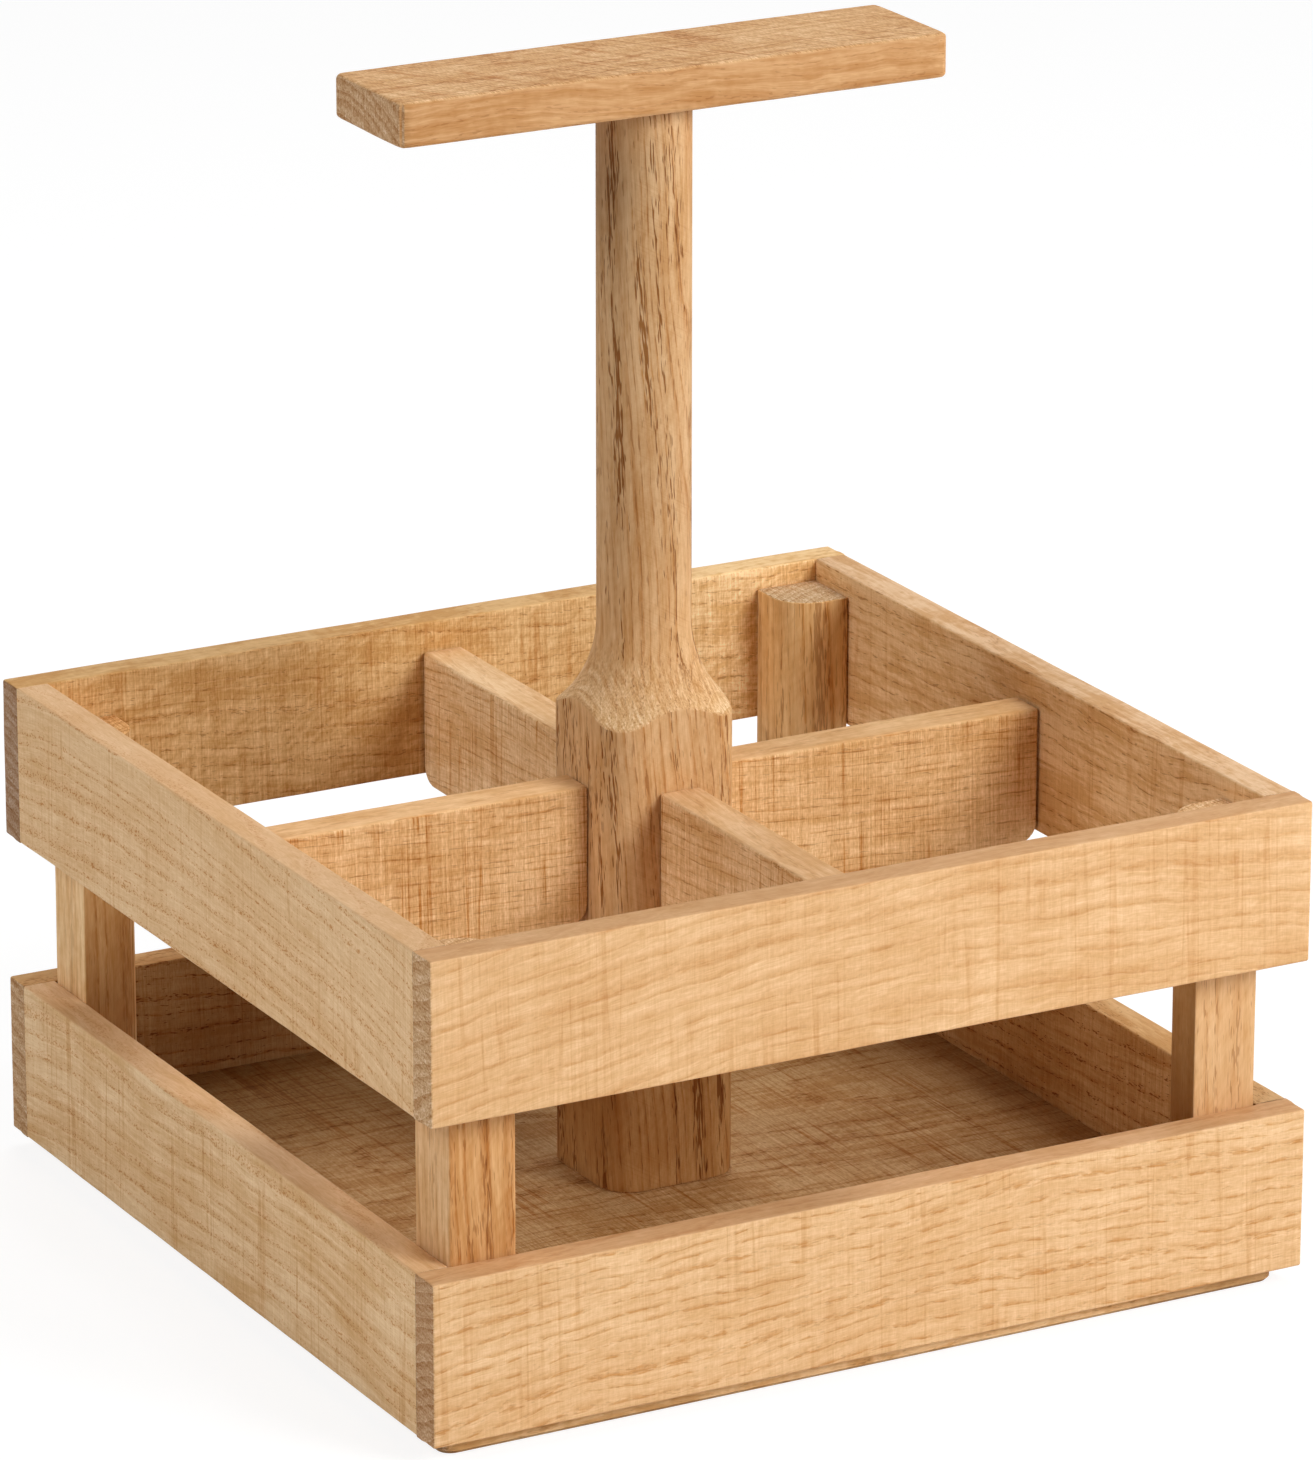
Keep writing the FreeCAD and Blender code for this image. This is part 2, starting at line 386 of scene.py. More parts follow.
class Oak(Graph):
    """Oak in three dimensions, as a node group: x along the grain, y across the board, z through it.

    Growth rings lie round the pith, vessels are long thin pores that crowd the early wood,
    and the two wide faces carry the saw's marks across the grain."""

    def __init__(self):
        super().__init__(bpy.data.node_groups.new("oak", "ShaderNodeTree"))
        interface = self.tree.interface
        for name, kind, usual in OAK_INPUTS:
            interface.new_socket(name, in_out="INPUT", socket_type=kind).default_value = usual
        for name, kind in OAK_OUTPUTS:
            interface.new_socket(name, in_out="OUTPUT", socket_type=kind)
        self.given = self.node("NodeGroupInput").outputs
        self.seeded = self.vector("ADD", self.given["Place"], self.given["Seed"])
        self.marks = {}
        self.find_faces()
        self.bend_grain()
        self.grow_rings()
        self.lay_fibres()
        self.draw_lines()
        self.open_pores()
        self.open_vessels()
        self.saw()
        out = self.node("NodeGroupOutput").inputs
        color = self.mix(self.marks["end"], self.long_face_color(), self.end_grain_color())
        self.feed(out["Color"], color)
        self.feed(out["Roughness"], self.weighed(*ROUGHNESS))
        self.feed(out["Height"], self.weighed(*RELIEF))

    def weighed(self, start, weights):
        """The start, plus each named mark times its weight."""
        return self.total(start, *((self.marks[name], weight) for name, weight in weights.items()))

    def find_faces(self):
        """Whether a place is on the end grain, on a narrow side or on a wide, sawn face."""
        self.to_end, to_side, to_front = self.split(self.vector("ABSOLUTE", self.given["Facing"]))
        self.marks["end"] = self.ramp(self.to_end, END_FACE)
        self.edge = self.ramp(to_side, BOARD_FACE)
        self.sawn = self.ramp(to_front, BOARD_FACE)
        self.calm = self.total(1.0, (self.edge, SIDE_CALM))

    def bend_grain(self):
        """The grain leans, bows and wanders, in a long swing with ripples on it."""
        place = self.given["Place"]
        wave = self.given["Wave"]
        along = self.split(place)[0]
        swing = self.scaled(self.centred_vector(self.seeded, "swing"), wave)
        small_wave = self.product(wave, RIPPLE_SHARE)
        ripple = self.scaled(self.centred_vector(self.seeded, "ripple"), small_wave)
        bow = self.scaled(self.given["Bow"], self.product(along, BOW_UNIT))
        lean = self.scaled(self.vector("ADD", self.given["Slope"], bow), along)
        offset = self.vector("ADD", self.vector("ADD", swing, ripple), lean)
        self.bent = self.vector("ADD", place, offset)
        straightened = self.vector("ADD", self.across_grain(self.bent), self.join(along, 0.0, 0.0))
        self.grain = self.vector("ADD", straightened, self.given["Seed"])

    def across_grain(self, vector):
        return self.vector("MULTIPLY", vector, (0, 1, 1))

    def grow_rings(self):
        """Early wood starts each ring sharply and fades into late wood."""
        from_pith = self.across_grain(self.vector("SUBTRACT", self.bent, self.given["Pith"]))
        rings = self.math("DIVIDE", self.length(from_pith), self.given["Ring width"])
        inputs = {"W": self.product(rings, RING_DRIFT_PACE), "Scale": 1.0, "Detail": 1.0}
        drift = self.node("ShaderNodeTexNoise", inputs, noise_dimensions="1D").outputs["Fac"]
        ring = self.math("FRACT", self.total(rings, (drift, RING_DRIFT)))
        past_crest = self.math("SUBTRACT", ring, RING_CREST)
        widths = self.math("DIVIDE", past_crest, self.given["Line width"])
        fall = self.ramp(widths, (0.0, 1.0), 1.0, 0.0)
        self.early = self.product(self.ramp(ring, EARLY_WOOD_RISES), fall)
        self.marks["ring"] = ring
        self.marks["late"] = self.ramp(ring, LATE_WOOD_DARKENS)

    def lay_fibres(self):
        """Fibres in streaks, patches, curl, and rays that make pale ripples across the grain."""
        streak = self.centred(self.grain, "streak")
        mottle = self.centred(self.seeded, "mottle")
        inputs = {"Vector": self.seeded, "Axis": (0, 0, 1), "Angle": CURL_ANGLE}
        curl = self.centred(self.node("ShaderNodeVectorRotate", inputs).outputs[0], "curl")
        ray = self.centred(self.grain, "ray")
        self.fibre = self.centred(self.grain, "fibre")
        strength = self.ramp(self.to_end, FIBRES_GAIN, FIBRES_ALONG, FIBRES_AT_END)
        self.marks["streak"] = streak
        self.marks["streaks"] = self.product(streak, self.given["Streaks"])
        self.marks["patches"] = self.product(mottle, self.given["Mottle"])
        self.marks["curls"] = self.product(curl, self.given["Curl"])
        self.marks["fibre"] = self.fibre
        self.marks["fibres"] = self.product(self.fibre, strength)
        self.marks["end_fibre"] = self.product(self.fibre, self.marks["end"])
        self.marks["ray"] = ray
        self.marks["end_ray"] = self.product(ray, self.ramp(self.to_end, RAYS_SHOW))

    def draw_lines(self):
        """Early wood shows as lines, broken into dashes here and there, fainter on sides and ends."""
        self.broken = self.noise(self.grain, "break")
        dashes = self.given["Dashes"]
        solid = self.math("SUBTRACT", 1.0, dashes)
        dashed = self.total(solid, (self.ramp(self.broken, LINES_BREAK), dashes))
        rough = self.total(LINE_STRENGTH, (self.fibre, LINE_FIBRES))
        faded = self.ramp(self.to_end, LINES_FADE, 1.0, LINES_AT_END)
        self.line = self.product(self.early, dashed, self.given["Lines"], rough, faded, self.calm)

    def open_pores(self):
        """Pores: thin dashes along the grain, dots on the end grain, most of them in early wood."""
        pore_size = self.join(self.given["Pore length"], PORE_WIDTH, PORE_WIDTH)
        dots = self.noise(self.vector("DIVIDE", self.grain, pore_size), "pore")
        pore = self.ramp(self.total(dots, (self.early, EARLY_PORES)), PORES_OPEN)
        self.marks["pore"] = self.product(pore, self.given["Pores"], self.calm)
        self.marks["dots"] = self.total(dots, (self.early, EARLY_DOTS))

    def open_vessels(self):
        """Clusters of long open vessels, as on the posts."""
        lanes = self.noise(self.grain, "lane")
        threads = self.noise(self.grain, "thread")
        open_here = self.total(lanes, (threads, THREAD_WEIGHT), (self.early, EARLY_VESSELS))
        vessel = self.ramp(open_here, VESSELS_OPEN)
        faded = self.ramp(self.to_end, LINES_FADE, 1.0, VESSELS_AT_END)
        self.marks["vessel"] = self.product(vessel, faded, self.given["Vessels"])

    def saw(self):
        """Fine ribs, torn fibre, and cuts at about the pitch, each as long as the blade caught."""
        seed = self.given["Seed"]
        along, across, _ = self.split(self.given["Place"])
        tilted = self.total(along, (across, self.given["Cut tilt"]))
        rib_place = self.join(tilted, self.product(across, RIB_STRAYS), 0.0)
        rib = self.centred(self.vector("ADD", rib_place, seed), "rib")
        torn = self.centred(self.seeded, "torn")
        self.marks["rib"] = self.product(rib, self.given["Ribs"], self.sawn)
        self.marks["torn"] = self.product(torn, self.given["Ribs"], self.sawn)
        pitches = self.math("DIVIDE", tilted, self.given["Cut pitch"])
        cut_place = self.join(pitches, self.product(across, CUT_STRAYS), CUT_LAYER)
        cuts = self.noise(self.vector("ADD", cut_place, seed), "cut")
        off_level = self.math("ABSOLUTE", self.math("SUBTRACT", cuts, CUT_LEVEL))
        cut = self.ramp(off_level, (0.0, CUT_BAND), 1.0, 0.0)
        caught = self.ramp(self.noise(self.seeded, "caught"), SAW_CATCHES)
        skipped = self.ramp(self.broken, SAW_SKIPS, SKIPPED_CUT, 1.0)
        self.marks["cut"] = self.product(cut, caught, skipped, self.given["Cuts"], self.sawn)

    def long_face_color(self):
        """The wood, with each mark's tint over it, and its fine changes of brightness."""
        color = self.given["Wood"]
        for share, overlay_tint in (
            (self.clamped(self.weighed(*TONE)), TONE_TINT),
            (self.edge, self.given["Edge"]),
            (self.line, LINE_TINT),
            (self.marks["cut"], LINE_TINT),
            (self.marks["pore"], self.given["Pore tint"]),
            (self.marks["vessel"], DARK_TINT),
        ):
            color = self.mix(share, color, overlay_tint, "MULTIPLY")
        return self.vector("MULTIPLY", color, self.shade(self.weighed(*BRIGHTNESS)))

    def end_grain_color(self):
        """Rings as bands, pores as dots, rays as pale threads."""
        band = self.product(self.weighed(*END_BAND), self.weighed(*END_DOTS))
        return self.vector("MULTIPLY", self.given["End"], self.shade(self.weighed(band, END_THREADS)))


OAK = Oak().tree


def blank_material(name):
    """A new material without nodes, and the graph that fills it."""
    material = bpy.data.materials.new(name)
    material.use_nodes = True
    material.node_tree.nodes.clear()
    return material, Graph(material.node_tree)


def oak(name, grain, face, low, high, painted_light_and_shade=(), **look):
    """Oak for one piece: grain and face name the axes along the grain and through the board.

    Each entry in the last argument is an axis, where it begins and is full in millimetres from the
    piece's middle, and its tint, which lays painted shade or painted light over the wood."""
    material, g = blank_material(name)
    across = ({"X", "Y", "Z"} - {grain, face}).pop()
    coordinates = g.node("ShaderNodeTexCoord").outputs
    centre = (low + high) / 2
    from_centre = g.vector("SUBTRACT", coordinates["Object"], tuple(centre))
    axes = g.split(g.vector("MULTIPLY", from_centre, (1 / MM,) * 3))
    facing = g.split(coordinates["Normal"])
    draw = random.Random(name)
    values = {
        "Place": g.join(axes[grain], axes[across], axes[face]),
        "Facing": g.join(facing[grain], facing[across], facing[face]),
        "Seed": tuple(draw.uniform(0, SEED_SPREAD) for _ in range(3)),
        **look,
    }
    # Painted shade or painted light: each tint darkens or lightens the wood beyond a span along one
    # axis
    for axis, begins, full, overlay_tint in painted_light_and_shade:
        share = g.ramp(axes[axis], (begins, full))
        values["Wood"] = g.mix(share, values["Wood"], overlay_tint, "MULTIPLY")
    inputs = {key.replace("_", " "): value for key, value in values.items()}
    wood = g.node("ShaderNodeGroup", inputs, node_tree=OAK).outputs
    bump = g.node("ShaderNodeBump", {"Height": wood["Height"], "Distance": MM, "Strength": 1.0})
    shader = g.node("ShaderNodeBsdfPrincipled", {
        "Base Color": wood["Color"],
        "Roughness": wood["Roughness"],
        "Normal": bump.outputs["Normal"],
        "Specular IOR Level": OAK_SPECULAR,
    })
    g.node("ShaderNodeOutputMaterial", {"Surface": shader.outputs["BSDF"]})
    return material


def screw_steel():
    """Zinc-plated steel, faintly blue, with fine turning marks."""
    material, g = blank_material("screw_steel")
    place = g.vector("MULTIPLY", g.node("ShaderNodeTexCoord").outputs["Object"], (1 / MM,) * 3)
    cloud = g.noise(place, "cloud")
    marks = g.noise(place, "turning")
    bump = g.node("ShaderNodeBump", {"Height": marks, "Distance": STEEL_MARK_DEPTH, "Strength": 1.0})
    shader = g.node("ShaderNodeBsdfPrincipled", {
        "Base Color": g.mix(g.ramp(cloud, CLOUDS_SHOW), linear(176, 180, 184), linear(204, 205, 202)),
        "Metallic": 1.0,
        "Roughness": g.total(STEEL_ROUGHNESS, (cloud, STEEL_CLOUD_ROUGHNESS)),
        "Normal": bump.outputs["Normal"],
    })
    g.node("ShaderNodeOutputMaterial", {"Surface": shader.outputs["BSDF"]})
    return material


def arris_lines(low, high, ease):
    """Places of the grid lines along one side: close on the arrises, then about a cell apart."""
    eased = [ease * (1 - math.tan(math.radians(angle))) for angle in ARRIS_ANGLES]
    start = low + ease
    length = high - low - 2 * ease
    count = max(1, round(length / CELL))
    middle = [start + length * step / count for step in range(1, count)]
    return [low + e for e in eased] + middle + [high - e for e in reversed(eased)]


def grid_shell(lines):
    """Points and quads of the outside of a block whose grid lines are given along each axis."""
    numbers = {}
    points = []
    quads = []

    def number(key):
        if key not in numbers:
            numbers[key] = len(points)
            points.append(Vector(places[step] for places, step in zip(lines, key)))
        return numbers[key]

    for axis in range(3):
        u, v = (axis + 1) % 3, (axis + 2) % 3
        for at_end in (False, True):
            fixed = len(lines[axis]) - 1 if at_end else 0
            for i in range(len(lines[u]) - 1):
                for j in range(len(lines[v]) - 1):
                    corners = [(i, j), (i + 1, j), (i + 1, j + 1), (i, j + 1)]
                    if not at_end:
                        corners.reverse()
                    quad = []
                    for a, b in corners:
                        key = [0, 0, 0]
                        key[axis], key[u], key[v] = fixed, a, b
                        quad.append(number(tuple(key)))
                    quads.append(quad)
    return points, quads


def round_corner(point, low, high, axes, signs, radius):
    """Moves a point so that one corner of the block, seen along the third axis, becomes round."""
    centre = []
    for axis, sign in zip(axes, signs):
        centre.append(high[axis] - radius if sign > 0 else low[axis] + radius)
    reach = [(point[axis] - middle) * sign for axis, sign, middle in zip(axes, signs, centre)]
    if min(reach) <= 0:
        return
    share = max(reach) / math.hypot(*reach)
    for axis, sign, middle, out in zip(axes, signs, centre, reach):
        point[axis] = middle + sign * out * share


def eased_block(name, low, high, arris, corners=(), eased_axes=(0, 1, 2), closed=None):
    """A sawn and sanded block: arrises a little uneven, faces not quite flat, never outside its box.

    Faces square to an axis that isn't eased keep sharp arrises, and so does the part of the block
    where closed says that another board lies flush against it."""
    points, quads = grid_shell([arris_lines(low[axis], high[axis], arris) for axis in range(3)])
    shift = Vector([random.Random(name).uniform(0, SEED_SPREAD)] * 3)
    for point in points:
        ease = arris * (1 + ARRIS_VARIES * noise.noise(point / ARRIS_WAVELENGTH + shift))
        if closed and closed(point):
            ease *= CLOSED_JOINT
        dip = FACE_DIP * (0.5 + 0.5 * noise.noise(point / FACE_DIP_WAVELENGTH - shift))
        core = point.copy()
        for axis in eased_axes:
            core[axis] = min(max(point[axis], low[axis] + ease), high[axis] - ease)
        out = point - core
        if out.length > 0:
            point[:] = core + out.normalized() * (ease - dip)
        for axes, signs, radius in corners:
            round_corner(point, low, high, axes, signs, radius)
    return mesh_object(name, points, quads)


def mesh_object(name, points, faces):
    """A smooth-shaded object in the scene."""
    mesh = bpy.data.meshes.new(name)
    mesh.from_pydata([tuple(point) for point in points], [], faces)
    mesh.polygons.foreach_set("use_smooth", [True] * len(mesh.polygons))
    mesh.update()
    made = bpy.data.objects.new(name, mesh)
    bpy.context.scene.collection.objects.link(made)
    return made


def dress(piece, node, material):
    """The piece stands for the node, on the node's body, in its finish."""
    piece.data.materials.append(material)
    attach(piece, frame["nodes"][node]["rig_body"])
    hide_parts(node)


def square_outline(half, radius):
    """Points round a square with rounded corners, starting on the +X side."""
    outline = []
    straight = half - radius
    for turn in range(4):
        rotation = Matrix.Rotation(turn * math.pi / 2, 2)
        for step in range(POST_FLAT_COLUMNS):
            spot = Vector((half, straight * (2 * step / POST_FLAT_COLUMNS - 1)))
            outline.append(rotation @ spot)
        for step in range(POST_CORNER_COLUMNS):
            bend = math.pi / 2 * step / POST_CORNER_COLUMNS
            spot = Vector((straight + radius * math.cos(bend), straight + radius * math.sin(bend)))
            outline.append(rotation @ spot)
    return outline


def cove_bend(reach):
    """How far round the cove's arc a place at this reach from the post's axis lies."""
    return math.acos(1 - (reach - POST_SHAFT_RADIUS) / POST_COVE_RADIUS)


def post_rows(reach, foot, cove_top, top):
    """Radius and height of the points up the post, where its square part reaches this far out."""
    bend = cove_bend(reach)
    shoulder = cove_top - POST_COVE_RADIUS * math.sin(bend)
    flat_low = foot + POST_ARRIS
    flat_height = shoulder - POST_ARRIS / 2 - flat_low
    rows = [(reach - POST_ARRIS, foot), (reach - POST_FOOT_BEVEL, foot + POST_FOOT_BEVEL)]
    for step in range(POST_SQUARE_ROWS + 1):
        rows.append((reach, flat_low + flat_height * step / POST_SQUARE_ROWS))
    rows.append((reach - POST_SHOULDER_IN, shoulder - POST_SHOULDER_DOWN))
    for step in range(1, POST_COVE_ROWS + 1):
        turn = bend * (1 - step / POST_COVE_ROWS)
        radius = POST_SHAFT_RADIUS + POST_COVE_RADIUS * (1 - math.cos(turn))
        rows.append((radius, cove_top - POST_COVE_RADIUS * math.sin(turn)))
    for step in range(1, POST_SHAFT_ROWS + 1):
        rows.append((POST_SHAFT_RADIUS, cove_top + (top - cove_top) * step / POST_SHAFT_ROWS))
    return rows


def turned_post(name, low, high):
    """Square with rounded corners below, turned through a cove to a round shaft above."""
    centre = (low + high) / 2
    half = (high.x - low.x) / 2
    cove_top = low.z + POST_FLATS_HEIGHT + POST_COVE_RADIUS * math.sin(cove_bend(half))
    columns = []
    for spot in square_outline(half, POST_CORNER_RADIUS):
        reach = spot.length
        across = spot / reach
        rows = post_rows(reach, low.z, cove_top, high.z)
        columns.append([(across.x * r + centre.x, across.y * r + centre.y, z) for r, z in rows])
    count = len(columns)
    height = len(columns[0])
    points = [spot for column in columns for spot in column]
    points += [(centre.x, centre.y, low.z), (centre.x, centre.y, high.z)]
    foot, top = count * height, count * height + 1
    last = height - 1
    starts = [(i * height, (i + 1) % count * height) for i in range(count)]
    faces = [(a + j, b + j, b + j + 1, a + j + 1) for a, b in starts for j in range(last)]
    faces += [(b, a, foot) for a, b in starts]
    faces += [(a + last, b + last, top) for a, b in starts]
    return mesh_object(name, points, faces)


# Each board's colour and what sets its grain apart; where a colour also holds painted shade or painted
# light, a note by it says so
SLAT_LOOK = dict(
    Pores=0.25, Pore_length=1.6, Lines=0.6, Line_width=0.3, Streaks=0.35, Curl=0.4,
    Ribs=0.5, Cuts=0.45, Cut_pitch=7.0,
)
FRONT_SLAT_LOOK = dict(Ribs=0.4, Streaks=0.3, Curl=0.35, Cuts=0.35, Edge=tint(0.83, 0.77, 0.74))
LEFT_SLAT_LOOK = dict(
    Pith=(0, -90, -40), Pore_length=0.8, Pore_tint=SPECK_TINT, Curl=0.2, Edge=tint(0.88, 0.82, 0.79),
)
SLAT_LOOKS = {
    "upper_front_slat": dict(
        FRONT_SLAT_LOOK, Wood=linear(234, 191, 142), End=linear(198, 156, 112), Pith=(0, -150, -70),
        Ring_width=4.0, Slope=(0, -0.04, 0), Bow=(0, 0.6, 0), Pores=0.1, Lines=0.6, Line_width=0.45,
    ),
    "lower_front_slat": dict(
        FRONT_SLAT_LOOK, Wood=linear(236, 195, 147), End=linear(185, 142, 101), Pith=(0, -120, -60),
        Ring_width=2.9, Slope=(0, -0.03, 0), Bow=(0, 0.3, 0), Pores=0.2, Lines=0.85, Line_width=0.5,
        Dashes=0.85,
    ),
    "upper_left_slat": dict(
        LEFT_SLAT_LOOK, Wood=linear(241, 204, 158), Ring_width=3.6, Slope=(0, -0.05, 0),
        Bow=(0, 0.9, 0), Pores=0.9, Lines=0.35, Line_width=0.5, Dashes=0.3, Streaks=0.3,
    ),
    "lower_left_slat": dict(
        LEFT_SLAT_LOOK, Wood=linear(241, 205, 159), Ring_width=4.6, Slope=(0, 0, 0), Bow=(0, 0.3, 0),
        Pores=0.8, Lines=0.40, Line_width=0.55, Dashes=0.4, Streaks=0.5, Mottle=0.8, Cuts=0.6,
    ),
    "upper_back_slat": dict(
        Wood=linear(226, 184, 127), End=linear(164, 127, 95), Ring_width=3.4, Curl=1.2, Streaks=0.7,
        Mottle=1.5, Ribs=1.2, Lines=0.6, Dashes=0.7, Pores=0.5, Cuts=0.6, Cut_pitch=5.0,
    ),
    # Painted shade: the lower back slat's wood is darkened well below the other slats for the shade on
    # its inner face inside the crate, and its top and bottom are lightened back with the Edge tint
    "lower_back_slat": dict(
        Wood=linear(176, 137, 90), End=linear(192, 151, 109), Mottle=1.2, Lines=1.3, Dashes=0.7,
        Pores=1.0, Ribs=1.2, Cuts=0.6, Edge=tint(1.5, 1.5, 1.5),
    ),
    "upper_right_slat": dict(
        Wood=linear(236, 195, 143), Pith=(0, -60, 20), Ring_width=3.4, Lines=0.6, Dashes=0.5,
        Pores=0.6, Pore_length=3.0, Mottle=1.4, Curl=1.0, Streaks=0.9, Edge=tint(0.93, 0.92, 1.03),
    ),
    "lower_right_slat": dict(
        Wood=linear(210, 169, 118), Mottle=1.2, Lines=0.7, Dashes=0.7, Pores=1.0, Streaks=0.8,
        Ribs=1.0, Edge=tint(1.05, 1.05, 1.05),
    ),
}
# Painted light: the back slat's inner face is lightened towards its right end, beside the back right
# post, where the post's shadow falls
SLAT_PAINTED_LIGHT = {
    "upper_back_slat": (("X", 55, 75, tint(1.29, 1.41, 1.62)),),
}

DIVIDER_LOOK = dict(
    Pith=(0, -60, 20), Ring_width=1.8, Line_width=0.35, Wave=6.0, Lines=0.8, Dashes=0.9, Pores=0.4,
    Pore_length=3.0, Mottle=1.0, Curl=0.5, Ribs=1.3, Cuts=1.2, Cut_pitch=2.3,
    Edge=tint(0.98, 0.95, 0.95),
)
DIVIDER_WOODS = {
    "right": linear(237, 193, 138),
    "back": linear(238, 200, 152),
    "left": linear(235, 191, 137),
    "front": linear(233, 192, 143),
}

POST_LOOK = dict(Pores=0.5, Pore_length=5.0)
CORNER_POST_LOOK = dict(
    POST_LOOK, Pith=(0, 20, -40), Ring_width=2.4, Line_width=0.6, Wave=3.0, Lines=0.8, Dashes=0.6,
    Slope=(0, 0.02, 0), Vessels=0.6, Streaks=0.9, Ribs=0.0, Cuts=0.0,
)
CORNER_POSTS = {
    # the way to the middle of the crate along X and Y, and the look; Edge is for left and right faces
    "front_left": ((1, 1), dict(
        Wood=linear(216, 165, 110), Edge=tint(1.16, 1.32, 1.61), End=linear(216, 170, 120),
    )),
    # Painted shade: the front right post's left and right faces are darkened and reddened for the
    # shade on its left face inside the crate
    "front_right": ((-1, 1), dict(
        Wood=linear(226, 182, 133), Edge=tint(0.60, 0.53, 0.40), End=linear(216, 170, 120),
        Lines=0.4, Streaks=0.4, Vessels=0.2,
    )),
    "back_right": ((-1, -1), dict(
        Wood=linear(240, 199, 142), Edge=tint(1.0, 1.0, 1.0), End=linear(200, 163, 121),
        Streaks=0.5, Lines=1.0,
    )),
    # Painted shade: the back left post's wood is darkened for the shade on its front face inside the
    # crate, and its left and right faces are lightened back with the Edge tint
    "back_left": ((1, -1), dict(
        Wood=linear(200, 155, 102), Edge=tint(1.59, 1.90, 2.48), End=linear(212, 156, 96),
        Lines=0.8, Streaks=0.7, Vessels=0.3, Pores=0.3,
    )),
}

# The seed is chosen so that two lanes of open vessels run down the shaft's front
CENTRE_POST_LOOK = dict(
    POST_LOOK, Seed=(419, 457, 529), Wood=linear(224, 181, 131), End=linear(225, 185, 135),
    Edge=tint(0.96, 0.965, 0.97), Pith=(0, 60, -60), Ring_width=1.9, Slope=(0, 0.06, -0.03), Wave=3.0,
    Lines=0.85, Line_width=0.4, Vessels=1.0, Streaks=0.7, Ribs=0.2, Cuts=0.2, Cut_tilt=0.6,
)
# Painted shade: the shaft darkens a little from the post's middle upwards, and the square part darkens
# and reddens towards its foot, where shade falls near the base board
CENTRE_POST_PAINTED_SHADE = (
    ("Z", 0, 35, tint(0.88, 0.88, 0.90)),
    ("Z", -50, -100, tint(0.78, 0.72, 0.58)),
)

HANDLE_LOOK = dict(
    Wood=linear(218, 173, 123), End=linear(191, 148, 105), Edge=tint(0.89, 0.82, 0.76),
    Pith=(0, 10, -40), Ring_width=3.0, Slope=(0, 0.03, 0.03), Lines=0.6, Pores=0.6, Pore_length=2.5,
    Streaks=0.9, Ribs=1.8, Cuts=1.0, Cut_pitch=3.0, Cut_tilt=0.6,
)

# The base board's wood is darker partly for its own colour and partly as painted shade on the crate's
# floor; its front and back edges are lightened, painted light on the lip in the shade of the slats
# above it
BOARD_LOOK = dict(
    Wood=linear(201, 162, 113), Edge=tint(1.6, 1.7, 1.9), Pith=(0, 20, -60), Ring_width=2.6, Lines=0.8,
    Dashes=0.6, Pores=0.7, Pore_length=2.5, Mottle=1.3, Streaks=0.9, Curl=1.0, Ribs=1.6, Cuts=1.0,
    Cut_pitch=4.0,
)
# Painted shade: the base board darkens towards the back, towards the right and a little towards the
# left, for the shade that the slats, posts and dividers cast on the crate's floor
BOARD_PAINTED_SHADE = (
    ("Y", 0, 80, tint(0.54, 0.48, 0.38)),
    ("X", 50, 98, tint(0.66, 0.58, 0.48)),
    ("X", -10, -60, tint(0.88, 0.86, 0.82)),
)

DOWEL_LOOK = dict(Wood=linear(226, 196, 158), Lines=0.2, Pores=0.1, Ribs=0.0, Cuts=0.0)
DOWEL_GRAIN = {"handle_dowel": "Z", "divider_post_dowels": "X", "divider_slat_dowels": "X"}


def build_slats():
    for level in ("lower", "upper"):
        build_long_slat(level + "_front_slat", -1)
        build_long_slat(level + "_back_slat", 1)
        build_short_slat(level + "_left_slat")
        build_short_slat(level + "_right_slat")


def build_long_slat(node, outwards):
    """A front or back slat, with the side slats flush against its inner face at both ends."""
    low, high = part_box(node)
    thickness = high.y - low.y
    middle = (low.y + high.y) / 2

    def closed(point):
        at_end = min(point.x - low.x, high.x - point.x) < thickness
        return at_end and (point.y - middle) * outwards < 0

    piece = eased_block("oak_" + node, low, high, SLAT_ARRIS, closed=closed)
    dress_slat(piece, node, "X", "Y", low, high)


def build_short_slat(node):
    """A left or right slat, sharp at the ends that butt against the front and back slats."""
    low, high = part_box(node)
    piece = eased_block("oak_" + node, low, high, SLAT_ARRIS, eased_axes=(0, 2))
    dress_slat(piece, node, "Y", "X", low, high)


def dress_slat(piece, node, grain, face, low, high):
    """What all slats share in their oak, what is this slat's own, and any painted light on it."""
    look = {**SLAT_LOOK, **SLAT_LOOKS[node]}
    painted_light_and_shade = SLAT_PAINTED_LIGHT.get(node, ())
    dress(piece, node, oak(node, grain, face, low, high, painted_light_and_shade, **look))


def build_dividers():
    """Boards between the centre post and the upper slats, with rounded lower corners."""
    for side, wood in DIVIDER_WOODS.items():
        node = "divider_" + side
        low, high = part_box(node)
        along = 0 if side in ("right", "left") else 1
        toes = [((along, 2), (sign, -1), DIVIDER_TOE_RADIUS) for sign in (-1, 1)]
        piece = eased_block("oak_" + node, low, high, DIVIDER_ARRIS, toes)
        material = oak(node, "XY"[along], "YX"[along], low, high, Wood=wood, **DIVIDER_LOOK)
        dress(piece, node, material)


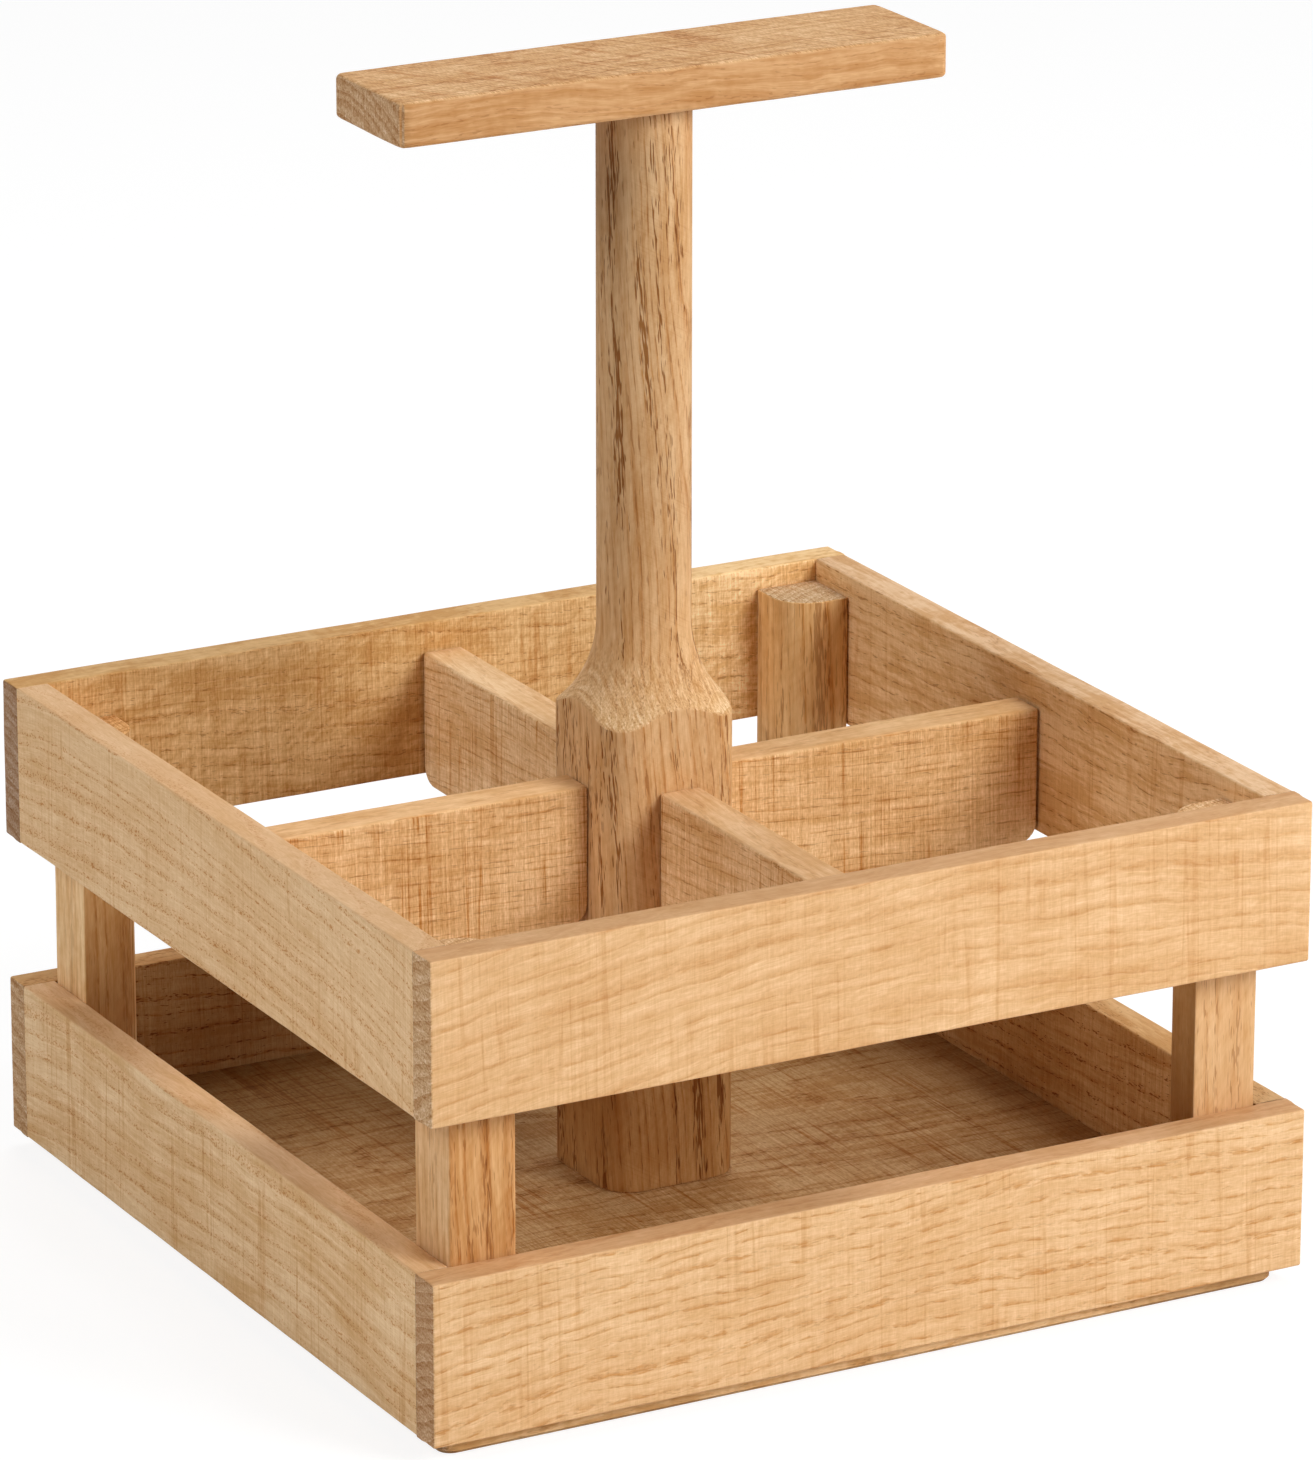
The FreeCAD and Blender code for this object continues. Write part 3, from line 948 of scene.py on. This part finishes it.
def build_corner_posts():
    """Posts in the slats' inner corners, a hair away from them and rounded towards the middle."""
    for corner, (inwards, look) in CORNER_POSTS.items():
        node = "corner_post_" + corner
        low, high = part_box(node)
        for axis, sign in enumerate(inwards):
            outer = low if sign > 0 else high
            outer[axis] += sign * CORNER_POST_GAP
        if corner == SHORT_POST:
            high.z -= SHORT_POST_DROP
        rounded = [((0, 1), inwards, CORNER_POST_ROUND)]
        piece = eased_block("oak_" + node, low, high, CORNER_POST_ARRIS, rounded)
        material = oak(node, "Z", "Y", low, high, **{**CORNER_POST_LOOK, **look})
        dress(piece, node, material)


def build_centre_post():
    node = "centre_post"
    low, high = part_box(node)
    piece = turned_post("oak_" + node, low, high)
    material = oak(node, "Z", "Y", low, high, CENTRE_POST_PAINTED_SHADE, **CENTRE_POST_LOOK)
    dress(piece, node, material)


def build_handle():
    node = "handle_bar"
    low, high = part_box(node)
    corners = [((0, 1), (a, b), HANDLE_CORNER_RADIUS) for a in (-1, 1) for b in (-1, 1)]
    piece = eased_block("oak_" + node, low, high, HANDLE_ARRIS, corners)
    dress(piece, node, oak(node, "X", "Z", low, high, **HANDLE_LOOK))


def finish_cad_nodes():
    """The pieces that stay as the frame has them: the base board, the dowels and the screws."""
    low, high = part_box("base_board")
    finish_node("base_board", oak("base_board", "X", "Z", low, high, BOARD_PAINTED_SHADE, **BOARD_LOOK))
    for name, grain in DOWEL_GRAIN.items():
        low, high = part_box(name)
        finish_node(name, oak(name, grain, "Y", low, high, **DOWEL_LOOK))
    finish_node("post_screws", screw_steel())


def finish_node(name, material):
    """Gives a node of the frame its only material."""
    materials = frame["nodes"][name].data.materials
    materials.clear()
    materials.append(material)


def build_floor():
    mesh = bpy.data.meshes.new("floor")
    signs = ((-1, -1), (1, -1), (1, 1), (-1, 1))
    corners = [(x * FLOOR_HALF, y * FLOOR_HALF, -FLOOR_GAP) for x, y in signs]
    mesh.from_pydata(corners, [], [(0, 1, 2, 3)])
    floor = bpy.data.objects.new("floor", mesh)
    bpy.context.scene.collection.objects.link(floor)
    mesh.materials.append(pale_floor())


def pale_floor():
    """Paper that takes the contact shadow, and looks nearly as white as the background."""
    material, g = blank_material("pale_floor")
    paper = g.node("ShaderNodeBsdfDiffuse", {"Color": grey(FLOOR_PAPER)})
    glow = g.node("ShaderNodeEmission", {"Color": grey(1.0), "Strength": FLOOR_GLOW})
    ray = g.node("ShaderNodeLightPath").outputs
    seen = g.math("MULTIPLY", ray["Is Camera Ray"], FLOOR_GLOW_SHARE)
    surface = g.node("ShaderNodeMixShader", {0: seen, 1: paper.outputs[0], 2: glow.outputs[0]})
    g.node("ShaderNodeOutputMaterial", {"Surface": surface.outputs[0]})
    return material


def build_light():
    """A white background that the camera and glossy surfaces see, a faint glow, and the lamps."""
    world = bpy.data.worlds.new("studio")
    bpy.context.scene.world = world
    world.use_nodes = True
    world.node_tree.nodes.clear()
    g = Graph(world.node_tree)
    ray = g.node("ShaderNodeLightPath").outputs
    through = g.math("MAXIMUM", ray["Is Glossy Ray"], ray["Is Transmission Ray"])
    seen = g.math("MAXIMUM", ray["Is Camera Ray"], through)
    soft = g.node("ShaderNodeBackground", {"Color": grey(1.0), "Strength": WORLD_LEVEL})
    white = g.node("ShaderNodeBackground", {"Color": grey(1.0), "Strength": 1.0})
    both = g.node("ShaderNodeMixShader", {0: seen, 1: soft.outputs[0], 2: white.outputs[0]})
    g.node("ShaderNodeOutputWorld", {"Surface": both.outputs[0]})
    for name, azimuth, elevation, power in LAMPS:
        build_lamp(name, math.radians(azimuth), math.radians(elevation), power)


def build_lamp(name, turn, rise, power):
    """A round soft box that faces the crate, as far away as every other."""
    data = bpy.data.lights.new(name, "AREA")
    data.shape = "DISK"
    data.size = LAMP_SIZE
    data.energy = power
    level = math.cos(rise)
    towards = Vector((math.sin(turn) * level, -math.cos(turn) * level, math.sin(rise)))
    lamp = bpy.data.objects.new(name, data)
    lamp.location = LAMP_TARGET + towards * LAMP_DISTANCE
    lamp.rotation_euler = (-towards).to_track_quat("-Z", "Y").to_euler()
    bpy.context.scene.collection.objects.link(lamp)


def build_camera():
    data = bpy.data.cameras.new("camera")
    data.sensor_width = CAMERA_SENSOR
    data.lens = CAMERA_LENS
    data.shift_x, data.shift_y = CAMERA_SHIFT
    data.clip_start, data.clip_end = CAMERA_CLIP
    camera = bpy.data.objects.new("camera", data)
    turn = Matrix.Rotation(math.radians(-CAMERA_YAW), 4, "Z")
    nod = Matrix.Rotation(math.radians(90 - CAMERA_PITCH), 4, "X")
    roll = Matrix.Rotation(math.radians(CAMERA_ROLL), 4, "Z")
    camera.matrix_world = Matrix.Translation(CAMERA_PLACE) @ turn @ nod @ roll
    bpy.context.scene.collection.objects.link(camera)
    bpy.context.scene.camera = camera


build_slats()
build_dividers()
build_corner_posts()
build_centre_post()
build_handle()
finish_cad_nodes()
build_floor()
build_light()
build_camera()
bpy.context.scene.view_settings.view_transform = "Standard"
